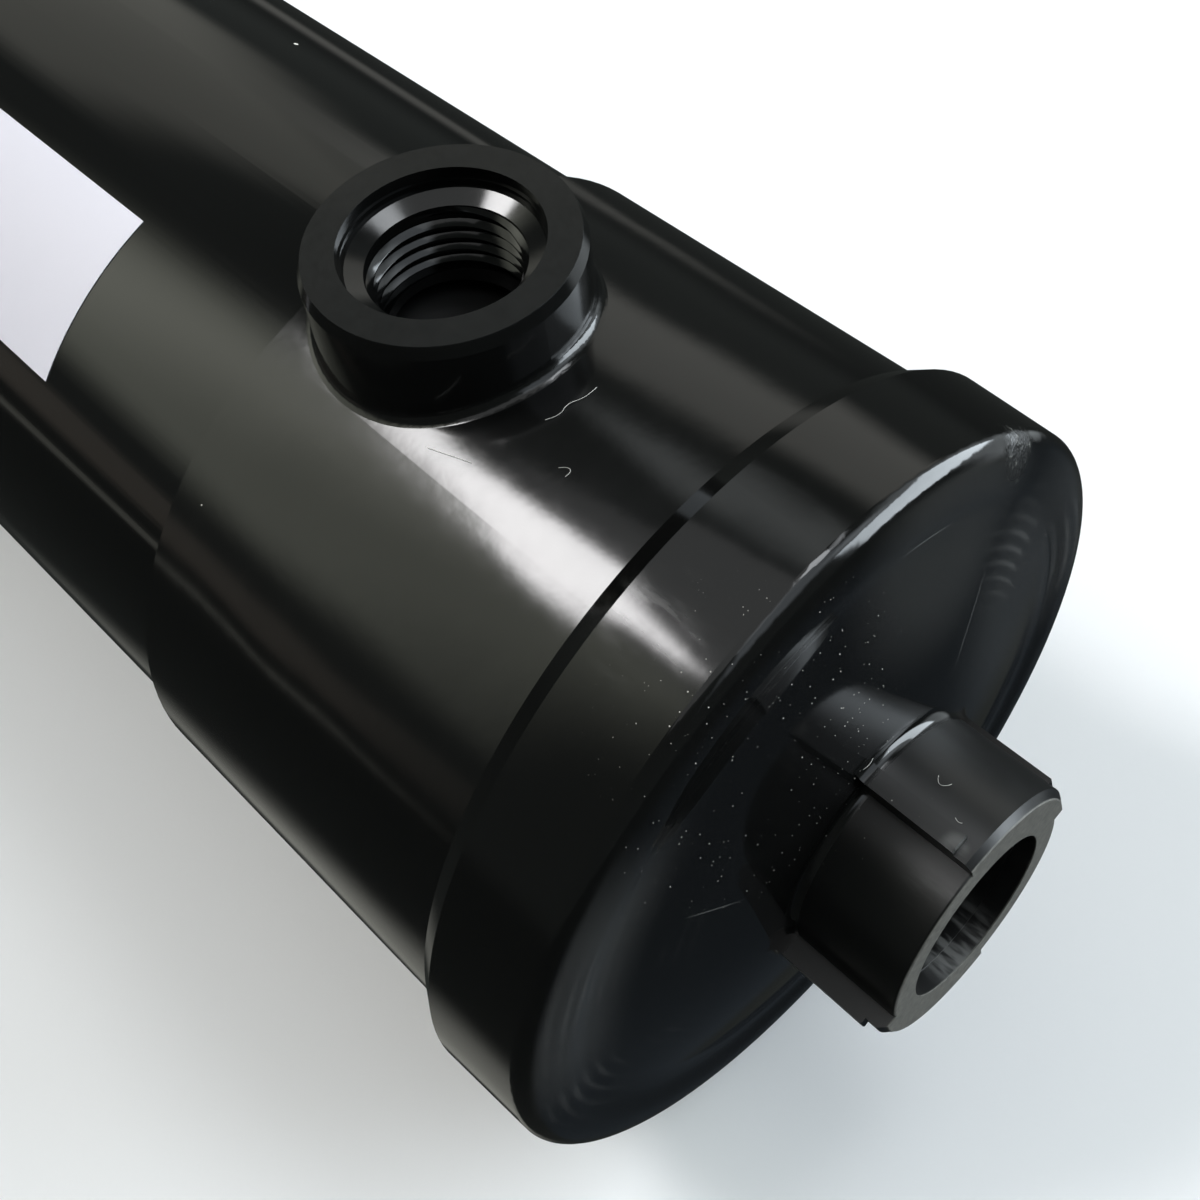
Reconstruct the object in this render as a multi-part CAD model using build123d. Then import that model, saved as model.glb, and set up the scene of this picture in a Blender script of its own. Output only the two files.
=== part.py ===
from build123d import *
from math import degrees
import os

# Hollow-fibre degassing module, lying along X with its side ports up (+Z).
# The origin is on the tube's axis at mid-length. All sizes are in millimetres.

# Fits that recur
fit_gap = 0.15  # radial room in a glued socket
seat_gap = 0.1  # room between bonded or wound parts inside
through = 1.0  # how far a cutter passes the faces that it opens

# Shell tube
overall_length = 673.0  # nozzle tip to nozzle tip
tube_outer_r = 81.3
tube_wall = 6.0
tube_chamfer = 1.2  # outer lead-in at the tube's ends

# Header: the moulded sleeve that carries the side port
header_length = 115.6
header_wall = 3.15  # over the tube
tube_socket_depth = 57.8  # length of tube inside the header

# Side port on the header, an internal pipe thread of one inch
port_setback = 90.8  # header's front end back to the port's axis
port_height = 16.65  # port's face above the header's surface
port_boss_r = 29.05
port_rim_fall = 2.8  # height of the bevel round the port's face
port_rim_inset = 1.05  # how far the bevel comes in at the face
port_blend_r = 2.5  # fillet at the foot of the boss
counterbore_r = 21.1
counterbore_step = 0.35  # lower half of the counterbore is this much tighter
counterbore_step_depth = 2.95
counterbore_depth = 4.75
cone_outer_r = 20.2
cone_fall = 1.7  # from the counterbore's floor to the thread
thread_major_r = 16.62
thread_minor_r = 15.15
thread_length = 16.8

# End cap: socket, rim and dome
cap_socket_depth = 19.2
cap_rim_wall = 5.25  # over the header, at the widest
cap_rim_setback = 34.9  # nozzle tip back to the crest of the rim
cap_corner_run = 5.0  # rounded front corner, along X
cap_corner_fall = 9.6  # rounded front corner, radially
cap_draft = 0.8  # how much the side narrows towards the front
cap_bevel_run = 4.4  # bevel at the rear edge, along X
cap_bevel_fall = 2.7
cap_depth = 31.0  # rear face to crest
cap_wall = 7.0
valley_width = 6.0  # crest to the bottom of the valley
valley_depth = 0.8
valley_flank_width = 6.0  # bottom of the valley to where the dome begins
valley_flank_rise = 0.75
dome_rise = 8.7  # bottom of the valley to the foot of the nozzle
dome_foot_r = 31.0

# Nozzle in the middle of the cap, a socket for 38 mm pipe
nozzle_r = 25.9
nozzle_root_r = 2.0
nozzle_end_round = 0.7
pipe_socket_r = 19.0
pipe_socket_depth = 32.0
pipe_lead_in_r = 19.44
pipe_lead_in = 4.5
passage_r = 16.0
stop_wall = 4.5  # stop ledge, along X
stub_r = 24.0  # inner stub round the passage

# Lands on the nozzle: two raised quarters with a strip along each edge
land_r = 29.6
land_angle = 90.0
land_start = 10.0  # angle from +Y towards +Z
land_count = 2
land_end_bevel = 1.6
strip_r = 31.0
strip_angle = 8.0
strip_setback = 4.3  # strips stop short of the nozzle's end
strip_end_bevel = 0.3

# Resin tube sheets
sheet_setback = 7.8  # header's front end back to the sheet's open face
sheet_thickness = 30.0
sheet_edge = 1.0  # bevel where the resin was trimmed

# Core tube and its plugs
core_outer_r = 16.0
core_wall = 3.0
core_embed = 14.0  # length of core inside each sheet
core_hole_r = 3.5
core_hole_pitch = 62.0
core_hole_margin = 24.0  # sheet to the nearest row of holes
core_hole_angles = (0.0, 90.0)
plug_head = 3.0
plug_spigot = 11.0

# Wound fibre mat, its net sleeve and its end bands
bundle_gap = 5.3  # water space between the roll and the shell
sleeve_wall = 0.8
band_width = 16.0
band_wall = 1.4
window_length = 52.0
window_width = 16.0
window_gap = 18.0  # net left between two windows along X
port_guard = 9.0  # the sleeve is whole this far round each side port's bore
window_angles = (15.0, 45.0, 75.0, 105.0, 135.0, 165.0)

# Label on the tube
label_length = 100.0
label_near_edge = 53.4  # header's rear edge back to the label
label_height = 43.0  # round the tube
label_start = 108.4  # angle of the upper edge, from +Y towards +Z
label_thickness = 0.15
label_glue = 0.05  # adhesive under the label

# Places along X, worked out from the nozzle's tip inwards
tip_x = overall_length / 2
crest_x = tip_x - cap_rim_setback
cap_rear_x = crest_x - cap_depth
header_front_x = cap_rear_x + cap_socket_depth
header_rear_x = header_front_x - header_length
tube_end_x = header_rear_x + tube_socket_depth
port_x = header_front_x - port_setback
sheet_face_x = header_front_x - sheet_setback
sheet_back_x = sheet_face_x - sheet_thickness
core_end_x = sheet_back_x + core_embed

# Radii and heights that follow from them
tube_inner_r = tube_outer_r - tube_wall
bundle_r = tube_inner_r - bundle_gap
header_socket_r = tube_outer_r + fit_gap
header_outer_r = header_socket_r + header_wall
cap_socket_r = header_outer_r + fit_gap
cap_outer_r = cap_socket_r + cap_rim_wall
crest_r = cap_outer_r - cap_draft - cap_corner_fall
valley_r = crest_r - valley_width
port_top_z = header_outer_r + port_height
thread_top_z = port_top_z - counterbore_depth - cone_fall
thread_end_z = thread_top_z - thread_length


# A closed outline in (x, radius), turned about the module's axis from start
def turned(outline, angle=360.0, start=90.0):
    face = Plane.XZ * make_face(outline)
    return Rot(start - 90.0, 0, 0) * revolve(face, Axis.X, angle)


def closed(*points):
    return Polyline(*points, close=True)


def ring(x_from, x_to, inner_r, outer_r):
    return turned(closed((x_from, inner_r), (x_to, inner_r), (x_to, outer_r), (x_from, outer_r)))


def rod(x_from, x_to, radius):
    along_x = Rot(0, 90, 0) * Cylinder(radius, x_to - x_from)
    return Pos((x_from + x_to) / 2, 0, 0) * along_x


# A closed outline in (radius, z), turned about the side port's axis
def turned_on_port(outline):
    face = Plane.XZ * make_face(outline)
    return Pos(port_x, 0, 0) * revolve(face, Axis.Z)


# The moulding at the far end is the same one, turned end for end
def far_end(shape):
    return Rot(0, 0, 180) * shape


def port_bore(from_z):
    step_z = port_top_z - counterbore_step_depth
    floor_z = port_top_z - counterbore_depth
    tight_r = counterbore_r - counterbore_step
    return turned_on_port(closed(
        (0, from_z),
        (thread_major_r, from_z),
        (thread_major_r, thread_top_z),
        (cone_outer_r, floor_z),
        (tight_r, floor_z),
        (tight_r, step_z),
        (counterbore_r, step_z),
        (counterbore_r, port_top_z + through),
        (0, port_top_z + through),
    ))


def shell_tube():
    end_r = tube_outer_r - tube_chamfer
    body = turned(closed(
        (-tube_end_x, tube_inner_r),
        (tube_end_x, tube_inner_r),
        (tube_end_x, end_r),
        (tube_end_x - tube_chamfer, tube_outer_r),
        (-tube_end_x + tube_chamfer, tube_outer_r),
        (-tube_end_x, end_r),
    ))
    hole = turned_on_port(closed(
        (0, 0),
        (thread_minor_r, 0),
        (thread_minor_r, thread_end_z),
        (thread_major_r, thread_end_z),
        (thread_major_r, port_top_z),
        (0, port_top_z),
    ))
    return body - hole - far_end(hole)


def header():
    # The sleeve starts long, so that the fillet runs all round the boss
    blend_start_x = port_x - port_boss_r - 2 * port_blend_r
    sleeve = rod(blend_start_x, header_front_x, header_outer_r)
    boss = turned_on_port(closed(
        (0, 0),
        (port_boss_r, 0),
        (port_boss_r, port_top_z - port_rim_fall),
        (port_boss_r - port_rim_inset, port_top_z),
        (0, port_top_z),
    ))
    body = sleeve + boss
    # The foot of the boss is the one edge that is neither straight nor round
    foot = body.edges().filter_by(lambda edge: edge.geom_type not in (GeomType.LINE, GeomType.CIRCLE))
    body = fillet(foot, port_blend_r)
    # Behind the rear edge only the boss itself stands out over the tube
    behind_length = header_rear_x - blend_start_x + port_blend_r
    behind_size = 4 * header_outer_r
    behind = Box(behind_length, behind_size, behind_size)
    behind = Pos(header_rear_x - behind_length / 2, 0, 0) * behind
    footprint = turned_on_port(closed(
        (0, 0), (port_boss_r, 0), (port_boss_r, behind_size), (0, behind_size)
    ))
    body -= behind - footprint
    body -= rod(blend_start_x - port_boss_r, tube_end_x + seat_gap, header_socket_r)
    body -= rod(0, header_front_x + through, tube_inner_r)
    return body - port_bore(0)


# Dome line from the valley in to the nozzle, moved back along X for the inside
def dome_line(back):
    valley = (crest_x - valley_depth - back, valley_r)
    flank_end = (valley[0] + valley_flank_rise, valley_r - valley_flank_width)
    foot = (valley[0] + dome_rise, dome_foot_r)
    flank = TangentArc(valley, flank_end, tangent=(0, -1))
    return [flank, TangentArc(flank_end, foot, tangent=flank % 1)]


# Where the dome, carried on straight from its foot, has come to a radius
def on_dome(radius, back=0):
    foot = dome_line(back)[-1]
    slope = (foot % 1).X / (foot % 1).Y
    return ((foot @ 1).X + slope * (radius - dome_foot_r), radius)


def cap_outline():
    side_x = crest_x - cap_corner_run
    valley = (crest_x - valley_depth, valley_r)
    rim_middle = (crest_x - valley_depth / 2, (crest_r + valley_r) / 2)
    rim_top = TangentArc((crest_x, crest_r), rim_middle, tangent=(0, -1))
    outside = dome_line(0)
    inside = dome_line(cap_wall)
    root = on_dome(nozzle_r + nozzle_root_r)
    barrel_x = root[0] + nozzle_root_r
    stop_x = tip_x - pipe_socket_depth
    stub_x = stop_x - stop_wall
    end_r = nozzle_r - nozzle_end_round
    end_x = tip_x - nozzle_end_round
    return [
        Polyline(
            (cap_rear_x, cap_socket_r),
            (cap_rear_x, cap_outer_r - cap_bevel_fall),
            (cap_rear_x + cap_bevel_run, cap_outer_r),
            (side_x, cap_outer_r - cap_draft),
        ),
        EllipticalCenterArc((side_x, crest_r), cap_corner_run, cap_corner_fall, arc_size=90),
        rim_top,
        TangentArc(rim_middle, valley, tangent=rim_top % 1),
        *outside,
        Line(outside[-1] @ 1, root),
        TangentArc(root, (barrel_x, nozzle_r), tangent=outside[-1] % 1),
        Line((barrel_x, nozzle_r), (end_x, nozzle_r)),
        CenterArc((end_x, end_r), nozzle_end_round, 0, 90),
        Polyline(
            (tip_x, end_r),
            (tip_x, pipe_lead_in_r),
            (tip_x - pipe_lead_in, pipe_lead_in_r),
            (tip_x - pipe_lead_in, pipe_socket_r),
            (stop_x, pipe_socket_r),
            (stop_x, passage_r),
            (stub_x, passage_r),
            (stub_x, stub_r),
            on_dome(stub_r, cap_wall),
            inside[-1] @ 1,
        ),
        *inside,
        Polyline(
            inside[0] @ 0,
            (header_front_x, tube_inner_r),
            (header_front_x, cap_socket_r),
            (cap_rear_x, cap_socket_r),
        ),
    ]


# Raised part of the nozzle between two angles, flared where it leaves the dome
def nozzle_rib(radius, end_x, bevel, start, angle):
    foot = on_dome(radius + nozzle_root_r)
    core_r = nozzle_r - nozzle_root_r
    buried_x = foot[0] - cap_wall / 2
    outline = [
        Polyline(
            foot,
            (buried_x, foot[1]),
            (buried_x, core_r),
            (end_x, core_r),
            (end_x, radius - bevel),
            (end_x - bevel, radius),
            (foot[0] + nozzle_root_r, radius),
        ),
        TangentArc(foot, (foot[0] + nozzle_root_r, radius), tangent=dome_line(0)[-1] % 1),
    ]
    return turned(outline, angle, start)


def end_cap():
    body = turned(cap_outline())
    for index in range(land_count):
        start = land_start + index * 360.0 / land_count
        body += nozzle_rib(land_r, tip_x, land_end_bevel, start, land_angle)
        for edge in (start, start + land_angle - strip_angle):
            end_x = tip_x - strip_setback
            body += nozzle_rib(strip_r, end_x, strip_end_bevel, edge, strip_angle)
    return body


def tube_sheet():
    outer_r = tube_inner_r - seat_gap
    recess_x = core_end_x + plug_head + seat_gap
    body = turned(closed(
        (sheet_back_x, core_outer_r + seat_gap),
        (recess_x, core_outer_r + seat_gap),
        (recess_x, 0),
        (sheet_face_x, 0),
        (sheet_face_x, outer_r - sheet_edge),
        (sheet_face_x - sheet_edge, outer_r),
        (sheet_back_x, outer_r),
    ))
    return body


def core_tube():
    inner_r = core_outer_r - core_wall
    body = ring(-core_end_x, core_end_x, inner_r, core_outer_r)
    reach = sheet_back_x - core_hole_margin
    rows = int(2 * reach / core_hole_pitch) + 1
    drill = Cylinder(core_hole_r, 3 * core_outer_r)
    for row in range(rows):
        row_x = (row - (rows - 1) / 2) * core_hole_pitch
        for angle in core_hole_angles:
            body -= Pos(row_x, 0, 0) * Rot(angle, 0, 0) * drill
    return body


def core_plug():
    spigot_r = core_outer_r - core_wall - seat_gap
    spigot = rod(core_end_x - plug_spigot, core_end_x, spigot_r)
    return spigot + rod(core_end_x, core_end_x + plug_head, core_outer_r)


def fibre_bundle():
    return ring(-sheet_back_x, sheet_back_x, core_outer_r + seat_gap, bundle_r)


def bundle_band():
    inner_r = bundle_r + seat_gap
    return ring(sheet_back_x - band_width, sheet_back_x, inner_r, inner_r + band_wall)


def bundle_sleeve():
    inner_r = bundle_r + seat_gap
    end_x = sheet_back_x - band_width - seat_gap
    body = ring(-end_x, end_x, inner_r, inner_r + sleeve_wall)
    pitch = window_length + window_gap
    reach = port_x - thread_major_r - port_guard
    rows = int((2 * reach + window_gap) / pitch)
    window = Box(window_length, window_width, 3 * bundle_r)
    for row in range(rows):
        row_x = (row - (rows - 1) / 2) * pitch
        for angle in window_angles:
            body -= Pos(row_x, 0, 0) * Rot(angle, 0, 0) * window
    return body


def product_label():
    near_x = header_rear_x - label_near_edge
    far_x = near_x - label_length
    inner_r = tube_outer_r + label_glue
    outer_r = inner_r + label_thickness
    outline = closed((far_x, inner_r), (near_x, inner_r), (near_x, outer_r), (far_x, outer_r))
    return turned(outline, degrees(label_height / tube_outer_r), label_start)


def write(node, shape):
    export_step(shape, "parts/" + node + ".step")


os.makedirs("parts", exist_ok=True)
write("shell_tube", shell_tube())
write("core_tube", core_tube())
write("fibre_bundle", fibre_bundle())
write("bundle_sleeve", bundle_sleeve())
write("product_label", product_label())
paired = {
    "header": header(),
    "end_cap": end_cap(),
    "tube_sheet": tube_sheet(),
    "core_plug": core_plug(),
    "bundle_band": bundle_band(),
}
for name, front in paired.items():
    write("front_" + name, front)
    write("rear_" + name, far_end(front))
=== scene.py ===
import bpy
import bmesh
import math
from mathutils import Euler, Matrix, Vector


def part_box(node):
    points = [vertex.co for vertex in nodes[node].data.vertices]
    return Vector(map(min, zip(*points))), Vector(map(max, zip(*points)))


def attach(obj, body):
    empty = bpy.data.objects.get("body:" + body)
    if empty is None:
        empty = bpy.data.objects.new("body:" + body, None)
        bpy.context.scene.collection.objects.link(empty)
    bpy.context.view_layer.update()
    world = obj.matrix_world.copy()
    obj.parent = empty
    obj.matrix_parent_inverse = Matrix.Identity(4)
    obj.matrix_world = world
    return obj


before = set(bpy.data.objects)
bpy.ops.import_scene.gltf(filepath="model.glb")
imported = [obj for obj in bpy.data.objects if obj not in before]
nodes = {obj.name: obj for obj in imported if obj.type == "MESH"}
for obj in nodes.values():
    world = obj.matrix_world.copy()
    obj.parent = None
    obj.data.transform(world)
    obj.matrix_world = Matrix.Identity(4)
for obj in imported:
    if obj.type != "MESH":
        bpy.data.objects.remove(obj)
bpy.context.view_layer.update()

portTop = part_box("front_header")[1].z
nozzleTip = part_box("front_end_cap")[1].x
print("frame loaded,", len(nodes), "nodes")


def mm(value):
    return value / 1000.0


# shader maths as plain expressions
class Value:
    def __init__(self, graph, socket):
        self.graph = graph
        self.socket = socket

    def maths(self, operation, *others, clamp=False):
        sockets = [getattr(o, "socket", o) for o in (self,) + others]
        node = self.graph.node("ShaderNodeMath", {"operation": operation, "use_clamp": clamp},
                               dict(enumerate(sockets)))
        return Value(self.graph, node.outputs[0])

    def __add__(self, other):
        return self.maths("ADD", other)

    def __radd__(self, other):
        return self.maths("ADD", other)

    def __sub__(self, other):
        return self.maths("SUBTRACT", other)

    def __rsub__(self, other):
        return Value(self.graph, other).maths("SUBTRACT", self)

    def __mul__(self, other):
        return self.maths("MULTIPLY", other)

    def __rmul__(self, other):
        return self.maths("MULTIPLY", other)

    def __truediv__(self, other):
        return self.maths("DIVIDE", other)

    def __pow__(self, other):
        return self.maths("POWER", other)

    def most(self, other):
        return self.maths("MAXIMUM", other)

    def clip(self):
        return self.maths("ADD", 0.0, clamp=True)

    def size(self):
        return self.maths("ABSOLUTE")

    def sine(self):
        return self.maths("SINE")

    # 0 below low, 1 above high, soft between
    def step(self, low, high):
        node = self.graph.node("ShaderNodeMapRange", {"interpolation_type": "SMOOTHSTEP"},
                               {"Value": self.socket, "From Min": low, "From Max": high})
        return Value(self.graph, node.outputs[0])

    # 1 inside low..high, falling off over soft on each side
    def band(self, low, high, soft):
        half = (high - low) / 2
        away = (self - (low + high) / 2).size()
        return 1 - away.step(max(0, half - soft), half + soft)


class Graph:
    def __init__(self, tree):
        self.tree = tree
        tree.nodes.clear()

    def node(self, kind, settings=None, inputs=None):
        made = self.tree.nodes.new(kind)
        for name, value in (settings or {}).items():
            setattr(made, name, value)
        for name, value in (inputs or {}).items():
            value = getattr(value, "socket", value)
            if isinstance(value, bpy.types.NodeSocket):
                self.tree.links.new(value, made.inputs[name])
            else:
                made.inputs[name].default_value = value
        return made

    def value(self, socket):
        return Value(self, socket)

    def xyz(self, vector):
        parts = self.node("ShaderNodeSeparateXYZ", inputs={0: vector})
        return [self.value(o) for o in parts.outputs]

    def mix(self, factor, first, second):
        node = self.node("ShaderNodeMix", {"data_type": "RGBA"}, {0: factor, 6: first, 7: second})
        return node.outputs[2]

    # coordinates stretched by a number for each axis
    def scaled(self, vector, amounts):
        node = self.node("ShaderNodeVectorMath", {"operation": "MULTIPLY"}, {0: vector, 1: amounts})
        return node.outputs[0]

    def noise(self, vector, scale, detail=2.0, roughness=0.5):
        node = self.node("ShaderNodeTexNoise", {"noise_dimensions": "3D"},
                         {"Vector": vector, "Scale": scale, "Detail": detail, "Roughness": roughness})
        return self.value(node.outputs[0])

    # a colour scaled by a number, as a vector
    def tinted(self, tint, amount):
        node = self.node("ShaderNodeVectorMath", {"operation": "SCALE"}, {0: tint, "Scale": amount})
        return node.outputs[0]

    # flecks: a dot in a share of the cells of a 3-D grid, up to size (part of a cell) across
    def flecks(self, vector, scale, share, size):
        cells = self.node("ShaderNodeTexVoronoi", {"feature": "F1"}, {"Vector": vector, "Scale": scale})
        channels = self.node("ShaderNodeSeparateColor", inputs={0: cells.outputs["Color"]})
        chance = self.value(channels.outputs[0])
        reach = size * (0.3 + 0.7 * chance / share)
        near = 1 - (self.value(cells.outputs["Distance"]) / reach).step(0.6, 1.0)
        return near * (1 - chance.step(share * 0.96, share))


# camera, at the photograph's place
view = {"place": (402.6, -129.3, 328.0), "turn": (40.842, 5.285, 45.083), "lens": 50.5, "drop": -0.1833}


def placeCamera():
    data = bpy.data.cameras.new("camera")
    camera = bpy.data.objects.new("camera", data)
    bpy.context.scene.collection.objects.link(camera)
    camera.location = [mm(v) for v in view["place"]]
    camera.rotation_euler = Euler([math.radians(a) for a in view["turn"]])
    data.lens = view["lens"]
    data.sensor_width = 36.0
    data.shift_y = view["drop"]
    data.clip_start, data.clip_end = 0.01, 100.0
    bpy.context.scene.camera = camera


# the room, as its gloss shows it: windows and walls by compass direction, in degrees
room = {
    "dark": 0.09, "bench": 0.03, "benchEdge": (-9, 2), "tint": (0.90, 1.0, 0.94),
    "sideWindow": dict(az=(-164, -138), el=(50.5, 65), soft=(3, 1.5), light=20.0, tint=(1.0, 0.99, 1.0)),
    "sideGlow": dict(az=(-158, -142), el=(20, 50), soft=(9, 8), light=0.85, tint=(1.0, 1.0, 0.88)),
    "sideWall": dict(az=(-164, -121), el=(15, 62), soft=(9, 6), light=0.95, tint=(0.97, 1.0, 0.84)),
    "sideSkirting": dict(az=(-150, -118), el=(-4, 4), soft=(8, 1.5), light=0.22, tint=(1.0, 0.84, 0.70)),
    "benchLip": dict(az=(-160, -118), el=(-10.5, -9), soft=(4, 0.8), light=0.45, tint=(1.0, 1.0, 0.88)),
    "benchSide": dict(az=(-170, -118), el=(-80, -52), soft=(6, 8), light=0.32, tint=(1.0, 1.0, 0.90)),
    "benchFront": dict(az=(-30, 84), el=(-90, -30), soft=(10, 6), light=0.012, tint=(0.5, 0.9, 1.7)),
    "frontWindow": dict(az=(31, 84), el=(-2, 29), soft=(2, 2), light=8.5, tint=(0.84, 0.93, 1.0)),
    "frontWall": dict(az=(34, 92), el=(0, 44), soft=(8, 8), light=1.3, tint=(0.88, 0.96, 1.0)),
    "frontSill": dict(az=(56, 94), el=(-26, -3), soft=(6, 4), light=0.9, tint=(0.88, 0.96, 1.0)),
    "ceilingLight": dict(az=(62, 104), el=(60, 74), soft=(4, 3), light=7.0, tint=(0.92, 0.96, 1.0)),
    "backWall": dict(az=(138, 175), el=(11, 40), soft=(5, 3), light=0.55, tint=(1.0, 0.99, 0.88)),
    "backWallLeft": dict(az=(97, 136), el=(19, 42), soft=(5, 4), light=0.75, tint=(1.0, 0.99, 0.92)),
    "backTop": dict(az=(116, 146), el=(51, 63), soft=(6, 3), light=0.85, tint=(0.95, 1.0, 1.0)),
    "backLine": dict(az=(120, 170), el=(-16, -11), soft=(6, 2), light=0.18, tint=(1.0, 0.99, 0.92)),
    "frontCeiling": dict(az=(-12, 60), el=(34, 74), soft=(10, 8), light=1.1, tint=(0.84, 0.92, 1.0)),
    "ceiling": dict(el=(62, 100), soft=(1, 8), light=0.15, tint=(0.90, 0.97, 1.0)),
}


def buildRoom():
    world = bpy.data.worlds.new("room")
    bpy.context.scene.world = world
    world.use_nodes = True
    g = Graph(world.node_tree)
    x, y, z = g.xyz(g.node("ShaderNodeTexCoord").outputs["Generated"])
    azimuth = y.maths("ARCTAN2", x) * (180 / math.pi)
    elevation = z.maths("ARCSINE") * (180 / math.pi)
    base = room["bench"] + (room["dark"] - room["bench"]) * elevation.step(*room["benchEdge"])
    total = g.tinted(room["tint"], base)
    for patch in room.values():
        if not isinstance(patch, dict):
            continue
        acrossSoft, upSoft = patch["soft"]
        amount = elevation.band(*patch["el"], upSoft) * patch["light"]
        if "az" in patch:
            amount = amount * azimuth.band(*patch["az"], acrossSoft)
        glow = g.tinted(patch["tint"], amount)
        total = g.node("ShaderNodeVectorMath", {"operation": "ADD"}, {0: total, 1: glow}).outputs[0]
    light = g.node("ShaderNodeBackground", inputs={"Color": total, "Strength": 1.0})
    g.node("ShaderNodeOutputWorld", inputs={"Surface": light.outputs[0]})


floorSizes = {"radius": 40.0, "drop": 0.6, "colour": (0.86, 0.86, 0.86, 1)}


def layFloor():
    lowest = min(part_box(name)[0].z for name in nodes)
    bpy.ops.mesh.primitive_circle_add(vertices=96, radius=floorSizes["radius"], fill_type="NGON",
                                      location=(0, 0, lowest - mm(floorSizes["drop"])))
    floor = bpy.context.object
    floor.name = "floor"
    floor.data.materials.append(floorPaint())
    floor.visible_glossy = False  # the photographed gloss mirrors a dark bench, which the room holds


def floorPaint():
    material, g, place = newMaterial("paleFloor")
    grain = g.noise(place, 900.0, 1.0)
    finishMaterial(g, floorSizes["colour"], 0.9, grain, mm(0.01))
    return material


# one large soft lamp over the module
lamps = {
    "overhead": {"place": (0.2, -0.1, 1.9), "size": 1.6, "power": 4.0},
}


def hangLamps():
    for name, lamp in lamps.items():
        data = bpy.data.lights.new(name, "AREA")
        data.energy = lamp["power"]
        data.size = lamp["size"]
        thing = bpy.data.objects.new(name, data)
        bpy.context.scene.collection.objects.link(thing)
        thing.location = lamp["place"]
        aim = Vector((0.1, 0, 0)) - Vector(lamp["place"])
        thing.rotation_euler = aim.to_track_quat("-Z", "Y").to_euler()


# finishes
black = {
    "colour": (0.0030, 0.0031, 0.0030, 1),
    "milled": (0.008, 0.0085, 0.0085, 1),
    "dust": (0.62, 0.60, 0.55, 1),
    "milky": (0.10, 0.10, 0.095, 1),
    "torn": (0.12, 0.12, 0.11, 1),
    "sawnDark": (0.03, 0.03, 0.028, 1),
    "sawnPale": (0.16, 0.155, 0.135, 1),
}


def newMaterial(name):
    material = bpy.data.materials.new(name)
    material.use_nodes = True
    g = Graph(material.node_tree)
    place = g.node("ShaderNodeTexCoord").outputs["Object"]
    return material, g, place


def finishMaterial(g, colour, roughness, height=None, depth=0.0):
    shader = g.node("ShaderNodeBsdfPrincipled", inputs={"Base Color": colour, "Roughness": roughness})
    if height is not None:
        bump = g.node("ShaderNodeBump", inputs={"Strength": 1.0, "Distance": depth, "Height": height})
        g.tree.links.new(bump.outputs[0], shader.inputs["Normal"])
    g.node("ShaderNodeOutputMaterial", inputs={"Surface": shader.outputs[0]})


# 1 at a spot, fading to 0 at its radius; places in mm
def spot(g, place, centre, radius):
    reach = g.node("ShaderNodeVectorMath", {"operation": "DISTANCE"},
                   {0: place, 1: [mm(v) for v in centre]}).outputs["Value"]
    return 1 - g.value(reach).step(mm(radius) * 0.35, mm(radius))


def tubePlastic():
    material, g, place = newMaterial("extrudedBlackTube")
    drawLines = g.noise(g.scaled(place, (3.0, 140.0, 140.0)), 4.0, 3.0)
    wave = g.noise(g.scaled(place, (6.0, 20.0, 20.0)), 1.0, 1.0)
    specks = g.flecks(place, 90.0, 0.05, 0.09)
    colour = g.mix(specks, black["colour"], black["dust"])
    roughness = 0.05 + 0.05 * drawLines + 0.5 * specks
    finishMaterial(g, colour, roughness, drawLines * 0.03 + wave * 0.97, mm(0.30))
    return material


def headerPlastic():
    material, g, place = newMaterial("mouldedBlackHeader")
    wave = g.noise(g.scaled(place, (14.0, 22.0, 22.0)), 1.0, 1.5)
    peel = g.noise(place, 260.0, 2.0)
    x, y, z = g.xyz(place)
    portFace = z.step(portTop - mm(0.25), portTop - mm(0.1))
    milled = g.noise(place, 700.0, 3.0)
    specks = g.flecks(place, 110.0, 0.05, 0.07)
    colour = g.mix(portFace * milled, black["colour"], black["milled"])
    colour = g.mix(specks, colour, black["dust"])
    roughness = 0.09 + 0.06 * peel + 0.12 * portFace + 0.4 * specks
    finishMaterial(g, colour, roughness, wave * 0.985 + peel * 0.015, mm(0.9))
    return material


# wear on the front cap, and painted light on the lower wall inside the nozzle's bore: centre in mm, radius
# in mm, strength
capWearAndLight = {
    "rimPatch": ((283, -30, 85), 14, 0.26),
    "leftSwirl": ((303, -60, 10), 44, 0.22),
    "rightSwirl": ((302, 64, 18), 44, 0.30),
    "rightHaze": ((302, 64, 18), 44, 0.16),
    "valleyHaze": ((301, 30, 66), 34, 0.16),
    "rimHaze": ((301, -70, 30), 44, 0.18),
    "nozzleScuff": ((332, -9, 24), 10, 0.35),
    "stripScuff": ((331.5, -4, 30), 3.5, 0.60),
    # painted light: the lower wall inside the nozzle's bore, near its end, made paler in the milky colour
    # where light falls in
    "borePaintedLight": ((333, 0, -19), 12, 0.90),
    "gateScar": ((300.5, 53, 67), 8, 1.0),
    "dustCloud": ((303, -22, 54), 46, 1.0),
}
# how broken each rubbed patch, and the painted light in the bore, is: the noise runs from nothing to full
# strength between these
capBreakup = {
    "rimPatch": (0.42, 0.72),
    "nozzleScuff": (0.50, 0.80),
    "stripScuff": (0.30, 0.60),
    # the bore's painted light is broken up by the same noise as the rubbed patches
    "borePaintedLight": (0.40, 0.60),
}
# fine marks on the face: round the axis at a radius, or outward at an angle, each near one place
capMarks = {
    # a pale milky line round the axis, along the ring edge at 74.2 mm
    "paleRingLine": {"radius": 74.2, "place": (301, 24, 70), "reach": 10, "strength": 0.9},
    "flowRight": {"angle": 46.5, "place": (305, 35, 36), "reach": 13, "strength": 0.5},
    "flowLeft": {"angle": 148, "place": (305, -42, 26), "reach": 8, "strength": 0.5},
    "rubbedLine": {"radius": 73.5, "place": (301, 73, 3), "reach": 30, "strength": 1.0},
}
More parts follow.
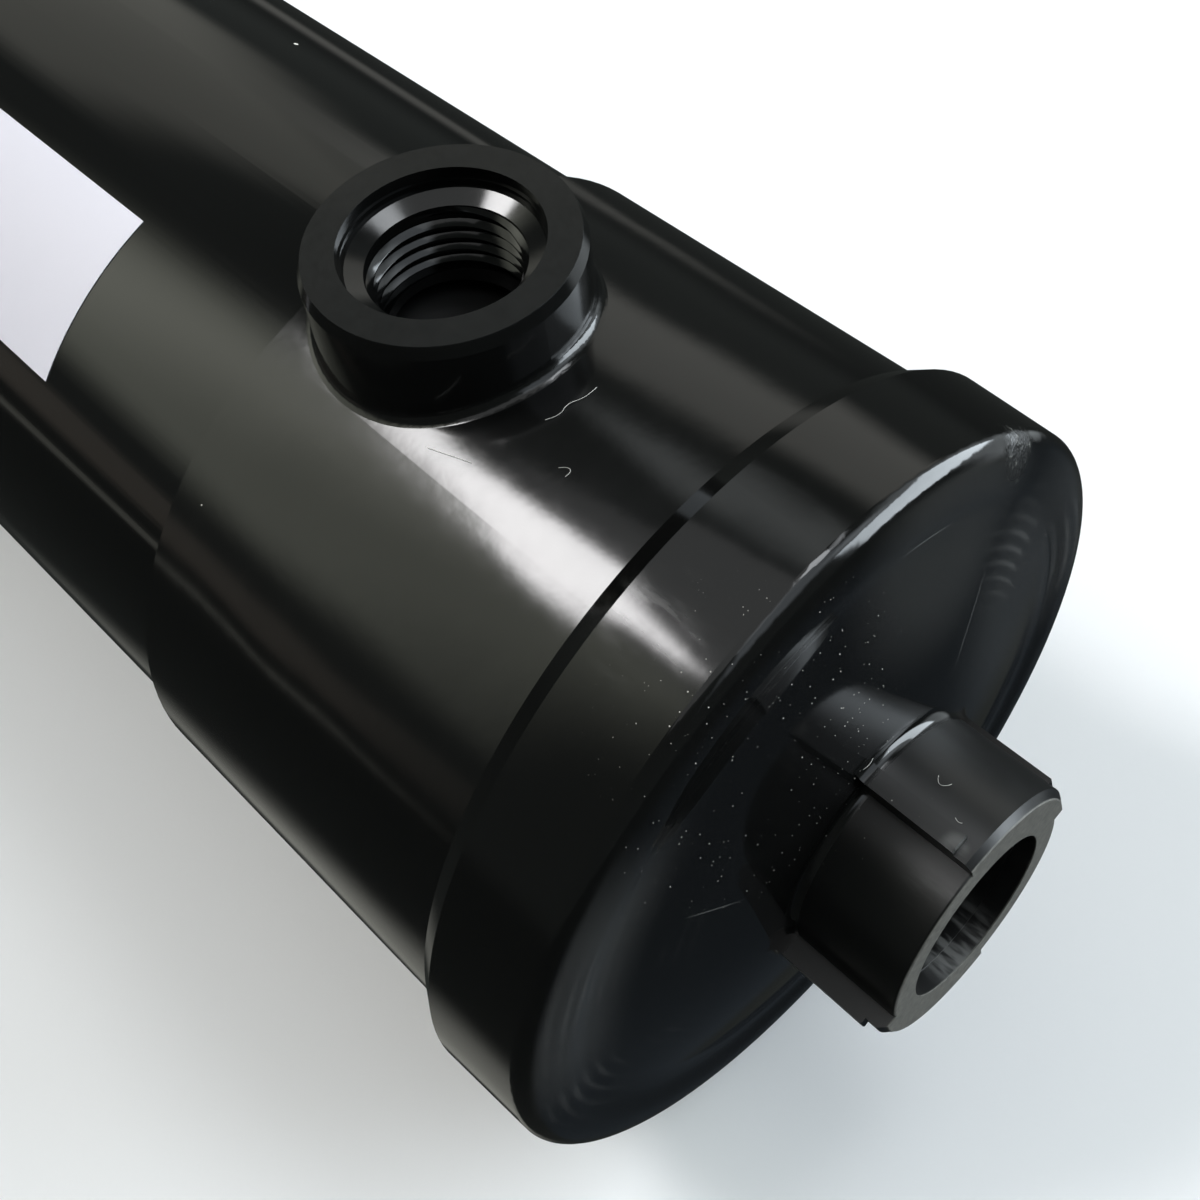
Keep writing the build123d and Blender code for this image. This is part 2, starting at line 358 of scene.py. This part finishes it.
# along the axis: where the face starts and the nozzle rises; across the face: the swirls' spacing and wander
capZones = {
    "face": 300.0,
    "nozzle": 311.5,
    "sawn": 0.25,
    "swirlGap": 3.4,
    "swirlWander": 30.0,
    "swirlInner": 48,
    "hazeInner": 62,
    "hazeOuter": 74,
}


def mark(g, place, y, z, shape):
    if "radius" in shape:
        off = (y * y + z * z) ** 0.5 - mm(shape["radius"])
    else:
        angle = math.radians(shape["angle"])
        off = y * math.sin(angle) - z * math.cos(angle)
    line = 1 - off.size().step(mm(0.08), mm(0.30))
    return line * spot(g, place, shape["place"], shape["reach"]) * shape["strength"]


def capPlastic():
    material, g, place = newMaterial("mouldedBlackCap")
    x, y, z = g.xyz(place)
    along = x.size()
    outward = (y * y + z * z) ** 0.5
    wearAndLight = {}
    for name, (centre, radius, strength) in capWearAndLight.items():
        wearAndLight[name] = spot(g, place, centre, radius) * strength
    marks = {name: mark(g, place, y, z, shape) for name, shape in capMarks.items()}
    peel = g.noise(place, 260.0, 2.0)
    wave = g.noise(place, 26.0, 1.0)
    nozzle = along.step(mm(capZones["nozzle"] - 0.5), mm(capZones["nozzle"] + 1))
    face = along.step(mm(capZones["face"] - 0.5), mm(capZones["face"] + 0.5)) * (1 - nozzle)
    # milky swirls wiped round the face
    wander = g.noise(place, 13.0, 1.0) * capZones["swirlWander"]
    lines = (0.5 + 0.5 * (outward * (2 * math.pi / mm(capZones["swirlGap"])) + wander).sine()) ** 3
    patches = g.noise(place, 40.0, 2.0).step(0.40, 0.66)
    outer = outward.step(mm(capZones["swirlInner"]), mm(capZones["hazeInner"]))
    swirls = lines * patches * outer * wearAndLight["leftSwirl"].most(wearAndLight["rightSwirl"])
    rimHaze = wearAndLight["rimHaze"] * outward.step(mm(capZones["hazeInner"]), mm(capZones["hazeOuter"]))
    haze = wearAndLight["rightHaze"].most(wearAndLight["valleyHaze"]).most(rimHaze)
    milk = (swirls + haze) * face * (1 - marks["rubbedLine"])
    rub = g.noise(g.scaled(place, (60.0, 260.0, 260.0)), 1.0, 3.0, 0.65)
    # rubbed patches and the bore's painted light go in as milky colour
    for name, (clean, rubbed) in capBreakup.items():
        milk = milk.most(wearAndLight[name] * rub.step(clean, rubbed))
    for name in ("paleRingLine", "flowRight", "flowLeft"):
        milk = milk.most(marks[name])
    # the nozzle is duller than the face, and its end is sawn and worn
    end = along.step(nozzleTip - mm(capZones["sawn"] + 0.1), nozzleTip - mm(capZones["sawn"] - 0.1))
    speckle = g.noise(place, 600.0, 2.0, 0.7)
    scar = wearAndLight["gateScar"]
    torn = g.noise(place, 500.0, 2.0, 0.7)
    fine = g.flecks(place, 1000.0, 0.34, 0.17) * wearAndLight["dustCloud"].step(0.1, 0.6)
    dust = fine.most(g.flecks(place, 160.0, 0.10, 0.05))
    colour = g.mix(milk.clip(), black["colour"], black["milky"])
    colour = g.mix(end, colour, g.mix(speckle, black["sawnDark"], black["sawnPale"]))
    colour = g.mix((scar * torn.step(0.55, 0.75)).clip(), colour, black["torn"])
    colour = g.mix(dust, colour, black["dust"])
    roughness = 0.06 + 0.05 * peel + 0.18 * milk + 0.24 * nozzle + 0.2 * end + 0.3 * scar + 0.4 * dust
    height = wave * 0.6 + peel * 0.012 + scar * torn * 0.9
    finishMaterial(g, colour, roughness.clip(), height, mm(0.5))
    return material


# the pipe thread in each side port
thread = {
    "major": 16.62,
    "minor": 15.05,
    "pitch": 3.3,
    "halfBase": 1.05,
    "crestRound": 0.35,
    "sunk": 0.03,  # its back lies this far inside the bore's wall
    "bottom": 78.0,
    "top": 94.8,
    "steps": 48,  # for each turn
    "fade": 0.25,  # the turns over which each end runs out into the wall
    "leastHeight": 0.02,  # what is left of the ridge's height at its very end
}


# one ridge with a rounded crest, swept up the bore as a helix that runs out at both ends
def cutThread(name, portX):
    rise = thread["top"] - thread["bottom"] - 2 * thread["halfBase"]
    turns = rise / thread["pitch"]
    root = thread["major"] + thread["sunk"]
    foot = (mm(portX), 0, mm(thread["bottom"] + thread["halfBase"]))
    bpy.ops.mesh.primitive_circle_add(vertices=3, radius=1.0, fill_type="NOTHING", location=foot)
    ridge = bpy.context.object
    ridge.name = name
    crest, lower, upper = ridge.data.vertices
    crest.co = (mm(thread["minor"]), 0, 0)
    lower.co = (mm(root), 0, mm(-thread["halfBase"]))
    upper.co = (mm(root), 0, mm(thread["halfBase"]))
    bpy.ops.object.mode_set(mode="EDIT")
    pickVertices(ridge, lambda v: v.co.x < mm(root) - mm(thread["sunk"]))
    bpy.ops.mesh.bevel(offset=mm(thread["crestRound"]), segments=3, affect="VERTICES")
    bpy.ops.object.mode_set(mode="OBJECT")
    corners = len(ridge.data.vertices)
    screw = ridge.modifiers.new("screw", "SCREW")
    screw.angle = 2 * math.pi * turns
    screw.screw_offset = mm(rise)
    screw.steps = screw.render_steps = round(thread["steps"] * turns)
    screw.use_merge_vertices = False
    bpy.ops.object.modifier_apply(modifier="screw")
    rings = len(ridge.data.vertices) // corners
    for vertex in ridge.data.vertices:
        turn = vertex.index // corners / (rings - 1) * turns
        height = min(1, turn / thread["fade"], (turns - turn) / thread["fade"])
        height = max(thread["leastHeight"], height)
        outward = math.hypot(vertex.co.x, vertex.co.y)
        spread = 1 + (mm(root) / outward - 1) * (1 - height)
        vertex.co.x *= spread
        vertex.co.y *= spread
    bpy.ops.object.mode_set(mode="EDIT")
    bpy.ops.mesh.select_all(action="SELECT")
    bpy.ops.mesh.fill_holes(sides=0)
    bpy.ops.mesh.normals_make_consistent(inside=False)
    bpy.ops.object.mode_set(mode="OBJECT")
    settle(ridge, 40)
    ridge.data.materials.append(threadPlastic())
    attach(ridge, "root")
    return ridge


def pickVertices(thing, chosen):
    work = bmesh.from_edit_mesh(thing.data)
    for vertex in work.verts:
        vertex.select = chosen(vertex)
    work.select_flush(True)
    bmesh.update_edit_mesh(thing.data)


# place and turn go into the mesh, and the faces are smoothed up to an angle
def settle(thing, degreesSharp):
    bpy.ops.object.select_all(action="DESELECT")
    thing.select_set(True)
    bpy.context.view_layer.objects.active = thing
    bpy.ops.object.transform_apply(location=True, rotation=True, scale=True)
    bpy.ops.object.shade_smooth_by_angle(angle=math.radians(degreesSharp))
    bpy.ops.object.select_all(action="DESELECT")


def threadPlastic():
    material, g, place = newMaterial("threadBlack")
    drag = g.noise(g.scaled(place, (300.0, 300.0, 900.0)), 1.0, 2.0)
    finishMaterial(g, black["colour"], 0.07 + 0.06 * drag, drag, mm(0.02))
    return material


# lint and hairs caught on the moulding, as lists of points along each
lint = {
    "thickness": 0.09,
    "byPort": ((236.0, -9.6, 84.3), (237.6, -7.4, 84.6), (236.6, -4.4, 84.9),
               (238.4, -1.0, 84.9), (238.0, 2.2, 84.8)),
    "onHeader": ((245.6, -15.6, 83.4), (246.8, -14.4, 83.7), (248.3, -14.6, 83.6), (248.0, -16.2, 83.4)),
    "portFoot": ((220.8, -27.4, 80.4), (225.0, -26.2, 80.7), (230.6, -24.6, 81.2)),
    "nozzleTop": ((320.2, 6.0, 29.2), (321.0, 4.4, 29.6), (322.6, 4.6, 29.7), (323.2, 6.2, 29.3)),
    "nozzleLand": ((328.0, 0.9, 29.75), (329.0, 0.3, 29.8), (329.6, 0.9, 29.75)),
    "landRoot": ((309.4, -4.2, 31.6), (310.2, -2.6, 32.0), (309.6, -0.8, 32.1)),
}


def layLint(name, points):
    bpy.ops.curve.primitive_nurbs_path_add()
    hair = bpy.context.object
    hair.name = "lint_" + name
    line = hair.data.splines[0]
    hair.data.splines.remove(line)
    line = hair.data.splines.new("NURBS")
    line.points.add(len(points) - 1)
    for point, at in zip(line.points, points):
        point.co = [mm(v) for v in at] + [1]
    line.order_u = 3
    line.use_endpoint_u = True
    hair.data.bevel_depth = mm(lint["thickness"] / 2)
    hair.data.bevel_resolution = 1
    hair.data.use_fill_caps = True
    bpy.ops.object.select_all(action="DESELECT")
    hair.select_set(True)
    bpy.context.view_layer.objects.active = hair
    bpy.ops.object.convert(target="MESH")
    settle(bpy.context.object, 60)
    hair = bpy.context.object
    hair.data.materials.append(lintFibre())
    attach(hair, "root")


def lintFibre():
    material, g, place = newMaterial("whiteLint")
    twist = g.noise(place, 3000.0, 2.0)
    finishMaterial(g, g.mix(twist, (0.55, 0.53, 0.48, 1), (0.85, 0.84, 0.80, 1)), 0.7)
    return material


def plainPlastic(name, colour, roughness, grain):
    material, g, place = newMaterial(name)
    mottle = g.noise(place, grain, 3.0)
    dark = tuple(c * 0.8 for c in colour[:3]) + (1,)
    finishMaterial(g, g.mix(mottle, dark, colour), roughness + 0.1 * mottle, mottle, mm(0.05))
    return material


def labelPaper():
    material, g, place = newMaterial("whiteLabel")
    fibre = g.noise(place, 900.0, 3.0)
    cloud = g.noise(place, 30.0, 2.0)
    colour = g.mix(cloud, (0.78, 0.76, 0.84, 1), (0.82, 0.80, 0.88, 1))
    finishMaterial(g, colour, 0.45 + 0.1 * fibre, fibre, mm(0.01))
    return material


def dress(node, material):
    mesh = nodes[node].data
    mesh.materials.clear()
    mesh.materials.append(material)


def finishNodes():
    dress("shell_tube", tubePlastic())
    header = headerPlastic()
    cap = capPlastic()
    for end in ("front", "rear"):
        dress(end + "_header", header)
        dress(end + "_end_cap", cap)
    resin = plainPlastic("pottingResin", (0.42, 0.36, 0.25, 1), 0.35, 60.0)
    core = plainPlastic("corePlastic", (0.5, 0.5, 0.48, 1), 0.4, 80.0)
    net = plainPlastic("sleevePlastic", (0.02, 0.02, 0.02, 1), 0.4, 200.0)
    tape = plainPlastic("bandTape", (0.5, 0.48, 0.42, 1), 0.4, 150.0)
    for end in ("front", "rear"):
        dress(end + "_tube_sheet", resin)
        dress(end + "_core_plug", core)
        dress(end + "_bundle_band", tape)
    dress("core_tube", core)
    dress("bundle_sleeve", net)
    dress("fibre_bundle", plainPlastic("fibreMat", (0.6, 0.6, 0.56, 1), 0.7, 900.0))
    dress("product_label", labelPaper())


bpy.ops.object.select_all(action="DESELECT")
bpy.context.scene.view_settings.view_transform = "Standard"
placeCamera()
buildRoom()
layFloor()
hangLamps()
print("stage set")
finishNodes()
print("finishes on")
cutThread("front_port_thread", 199)
cutThread("rear_port_thread", -199)
print("threads cut")
for spotName, along in lint.items():
    if spotName != "thickness":
        layLint(spotName, along)
print("lint laid")
